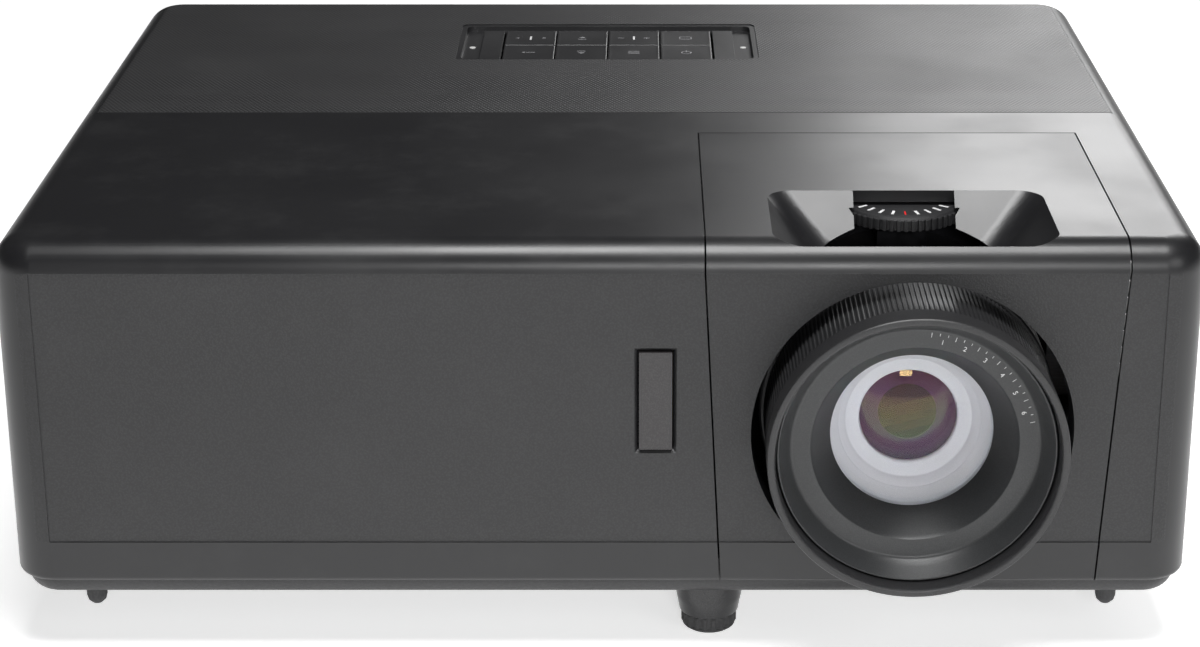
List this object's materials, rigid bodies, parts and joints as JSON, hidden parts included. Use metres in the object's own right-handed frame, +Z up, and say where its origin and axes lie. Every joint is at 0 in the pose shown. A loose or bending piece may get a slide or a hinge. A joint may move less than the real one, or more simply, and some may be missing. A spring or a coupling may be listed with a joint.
{
  "type": "home projector",
  "caption": "Low boxy home projector with an offset ribbed lens, a finger hollow with a shift dial above it, a keypad on top, side vents and screw-in feet.",
  "frame": {"origin": "centre of the footprint, on the table under the foot pads", "axes": "+X to the right seen from the front, +Y from the lens to the rear panel, +Z up"},
  "size_m": [0.374, 0.3222, 0.138],
  "materials": {
    "shell": "fine-grained satin black",
    "cover": "smooth satin black",
    "case": "satin black",
    "grille": "satin black",
    "window": "glossy, nearly black, tinted",
    "keys": "satin black with pale marks",
    "tray": "satin black",
    "lamp": "clear to milky",
    "brass": "turned",
    "screw": "blackened",
    "steel": "ground",
    "rubber": "matte",
    "collar": "glossy black",
    "ring": "satin black, ribbed",
    "cell": "black, satin to gloss",
    "glass": "coated",
    "baffle": "bright, satin",
    "casting": "cast",
    "fins": "extruded",
    "black_casting": "cast, black-anodised",
    "fan": "satin black",
    "board": "green, solder-masked",
    "port": "satin black",
    "metal_port": "plated",
    "phosphor": "coated"
  },
  "bodies": {
    "projector_body": {"bottom_case": "case", "top_cover": "shell", "lens_cover": "cover", "rear_panel": "port", "left_grille": "grille", "right_grille": "grille", "ir_window": "window", "keypad_tray": "tray", "keypad_board": "board", "light_pipes": "lamp", "case_screws": "screw", "mount_inserts": "brass", "bumpers": "rubber", "foot_collars": "collar", "dial_seat": "black_casting", "guide_rods": "steel", "lens_mount": "black_casting", "engine_housing": "casting", "light_tunnel": "casting", "wheel_motor": "steel", "laser_module": "casting", "laser_heatsink": "fins", "dmd_board": "board", "dmd_heatsink": "fins", "main_board": "board", "power_board": "board", "fan_frames": "fan", "hdmi_sockets": "metal_port", "dsub_sockets": "metal_port", "network_socket": "metal_port", "audio_sockets": "port", "power_inlet": "port"},
    "lens_carriage": {"shift_carriage": "black_casting", "lens_barrel": "ring", "rear_glass": "glass"},
    "shift_dial": {"shift_dial": "ring"},
    "focus_ring": {"focus_ring": "ring"},
    "front_group": {"front_cell": "cell", "front_glass": "glass", "front_baffle": "baffle"},
    "zoom_ring": {"zoom_ring": "ring"},
    "zoom_group": {"zoom_cell": "cell", "zoom_glass": "glass"},
    "phosphor_wheel": {"phosphor_wheel": "phosphor"},
    "fan_rotor_left": {"fan_rotor_left": "fan"},
    "fan_rotor_right": {"fan_rotor_right": "fan"},
    "foot_pad_front": {"foot_pad_front": "rubber"},
    "foot_knob_front": {"foot_knob_front": "rubber"},
    "foot_pad_left": {"foot_pad_left": "rubber"},
    "foot_knob_left": {"foot_knob_left": "rubber"},
    "foot_pad_right": {"foot_pad_right": "rubber"},
    "foot_knob_right": {"foot_knob_right": "rubber"},
    "key_front_1": {"key_front_1": "keys"},
    "key_front_2": {"key_front_2": "keys"},
    "key_front_3": {"key_front_3": "keys"},
    "key_front_4": {"key_front_4": "keys"},
    "key_rear_1": {"key_rear_1": "keys"},
    "key_rear_2": {"key_rear_2": "keys"},
    "key_rear_3": {"key_rear_3": "keys"},
    "key_rear_4": {"key_rear_4": "keys"}
  },
  "joints": [
    {"name": "lens_shift", "type": "slide", "parent": "projector_body", "child": "lens_carriage", "axis": [0, 0, 1], "range_m": [-0.0015, 0.0015]},
    {"name": "shift_dial_turn", "type": "hinge", "parent": "projector_body", "child": "shift_dial", "pos_m": [0.0974, -0.07925, 0.1305], "axis": [0, 0, 1], "range_deg": [-55.5, 55.5]},
    {"name": "focus_slide", "type": "slide", "parent": "lens_carriage", "child": "front_group", "axis": [0, 1, 0], "range_m": [-0.002, 0.002]},
    {"name": "focus_ring_turn", "type": "hinge", "parent": "lens_carriage", "child": "focus_ring", "pos_m": [0.0974, -0.14085, 0.0758], "axis": [0, 1, 0], "range_deg": [-45.5, 45.5]},
    {"name": "zoom_slide", "type": "slide", "parent": "lens_carriage", "child": "zoom_group", "axis": [0, 1, 0], "range_m": [-0.004, 0.004]},
    {"name": "zoom_ring_turn", "type": "hinge", "parent": "lens_carriage", "child": "zoom_ring", "pos_m": [0.0974, -0.11235, 0.0758], "axis": [0, 1, 0], "range_deg": [-20.5, 20.5]},
    {"name": "foot_front_travel", "type": "slide", "parent": "projector_body", "child": "foot_pad_front", "axis": [0, 0, -1], "range_m": [0, 0.012]},
    {"name": "foot_front_turn", "type": "hinge", "parent": "foot_pad_front", "child": "foot_knob_front", "pos_m": [0.035, -0.12085, 0.004], "axis": [0, 0, 1], "range_deg": [-1441, 0]},
    {"name": "foot_left_travel", "type": "slide", "parent": "projector_body", "child": "foot_pad_left", "axis": [0, 0, -1], "range_m": [0, 0.012]},
    {"name": "foot_left_turn", "type": "hinge", "parent": "foot_pad_left", "child": "foot_knob_left", "pos_m": [-0.15, 0.13115, 0.004], "axis": [0, 0, 1], "range_deg": [-1441, 0]},
    {"name": "foot_right_travel", "type": "slide", "parent": "projector_body", "child": "foot_pad_right", "axis": [0, 0, -1], "range_m": [0, 0.012]},
    {"name": "foot_right_turn", "type": "hinge", "parent": "foot_pad_right", "child": "foot_knob_right", "pos_m": [0.15, 0.13115, 0.004], "axis": [0, 0, 1], "range_deg": [-1441, 0]},
    {"name": "key_front_1_press", "type": "slide", "parent": "projector_body", "child": "key_front_1", "axis": [0, 0, -1], "range_m": [0, 0.0008], "stiffness_N_per_m": 400, "springref_m": -0.0006},
    {"name": "key_front_2_press", "type": "slide", "parent": "projector_body", "child": "key_front_2", "axis": [0, 0, -1], "range_m": [0, 0.0008], "stiffness_N_per_m": 400, "springref_m": -0.0006},
    {"name": "key_front_3_press", "type": "slide", "parent": "projector_body", "child": "key_front_3", "axis": [0, 0, -1], "range_m": [0, 0.0008], "stiffness_N_per_m": 400, "springref_m": -0.0006},
    {"name": "key_front_4_press", "type": "slide", "parent": "projector_body", "child": "key_front_4", "axis": [0, 0, -1], "range_m": [0, 0.0008], "stiffness_N_per_m": 400, "springref_m": -0.0006},
    {"name": "key_rear_1_rock", "type": "hinge", "parent": "projector_body", "child": "key_rear_1", "pos_m": [-0.03015, 0.1048, 0.1332], "axis": [0, 1, 0], "range_deg": [-3, 3], "stiffness_Nm_per_rad": 0.08},
    {"name": "key_rear_2_press", "type": "slide", "parent": "projector_body", "child": "key_rear_2", "axis": [0, 0, -1], "range_m": [0, 0.0008], "stiffness_N_per_m": 400, "springref_m": -0.0006},
    {"name": "key_rear_3_rock", "type": "hinge", "parent": "projector_body", "child": "key_rear_3", "pos_m": [0.01005, 0.1048, 0.1332], "axis": [0, 1, 0], "range_deg": [-3, 3], "stiffness_Nm_per_rad": 0.08},
    {"name": "key_rear_4_press", "type": "slide", "parent": "projector_body", "child": "key_rear_4", "axis": [0, 0, -1], "range_m": [0, 0.0008], "stiffness_N_per_m": 400, "springref_m": -0.0006},
    {"name": "phosphor_wheel_spin", "type": "hinge", "parent": "projector_body", "child": "phosphor_wheel", "pos_m": [0.024, -0.01885, 0.0568], "axis": [1, 0, 0], "continuous": true},
    {"name": "fan_left_spin", "type": "hinge", "parent": "projector_body", "child": "fan_rotor_left", "pos_m": [-0.1715, 0.00915, 0.078], "axis": [1, 0, 0], "continuous": true},
    {"name": "fan_right_spin", "type": "hinge", "parent": "projector_body", "child": "fan_rotor_right", "pos_m": [0.1715, 0.05415, 0.078], "axis": [1, 0, 0], "continuous": true}
  ],
  "couplings": [
    {"joint": "shift_dial_turn", "follows": "lens_shift", "rad_per_m": 639.95},
    {"joint": "focus_ring_turn", "follows": "focus_slide", "rad_per_m": -392.7},
    {"joint": "zoom_ring_turn", "follows": "zoom_slide", "rad_per_m": 87.266},
    {"joint": "foot_front_turn", "follows": "foot_front_travel", "rad_per_m": -2094.4},
    {"joint": "foot_left_turn", "follows": "foot_left_travel", "rad_per_m": -2094.4},
    {"joint": "foot_right_turn", "follows": "foot_right_travel", "rad_per_m": -2094.4}
  ]
}
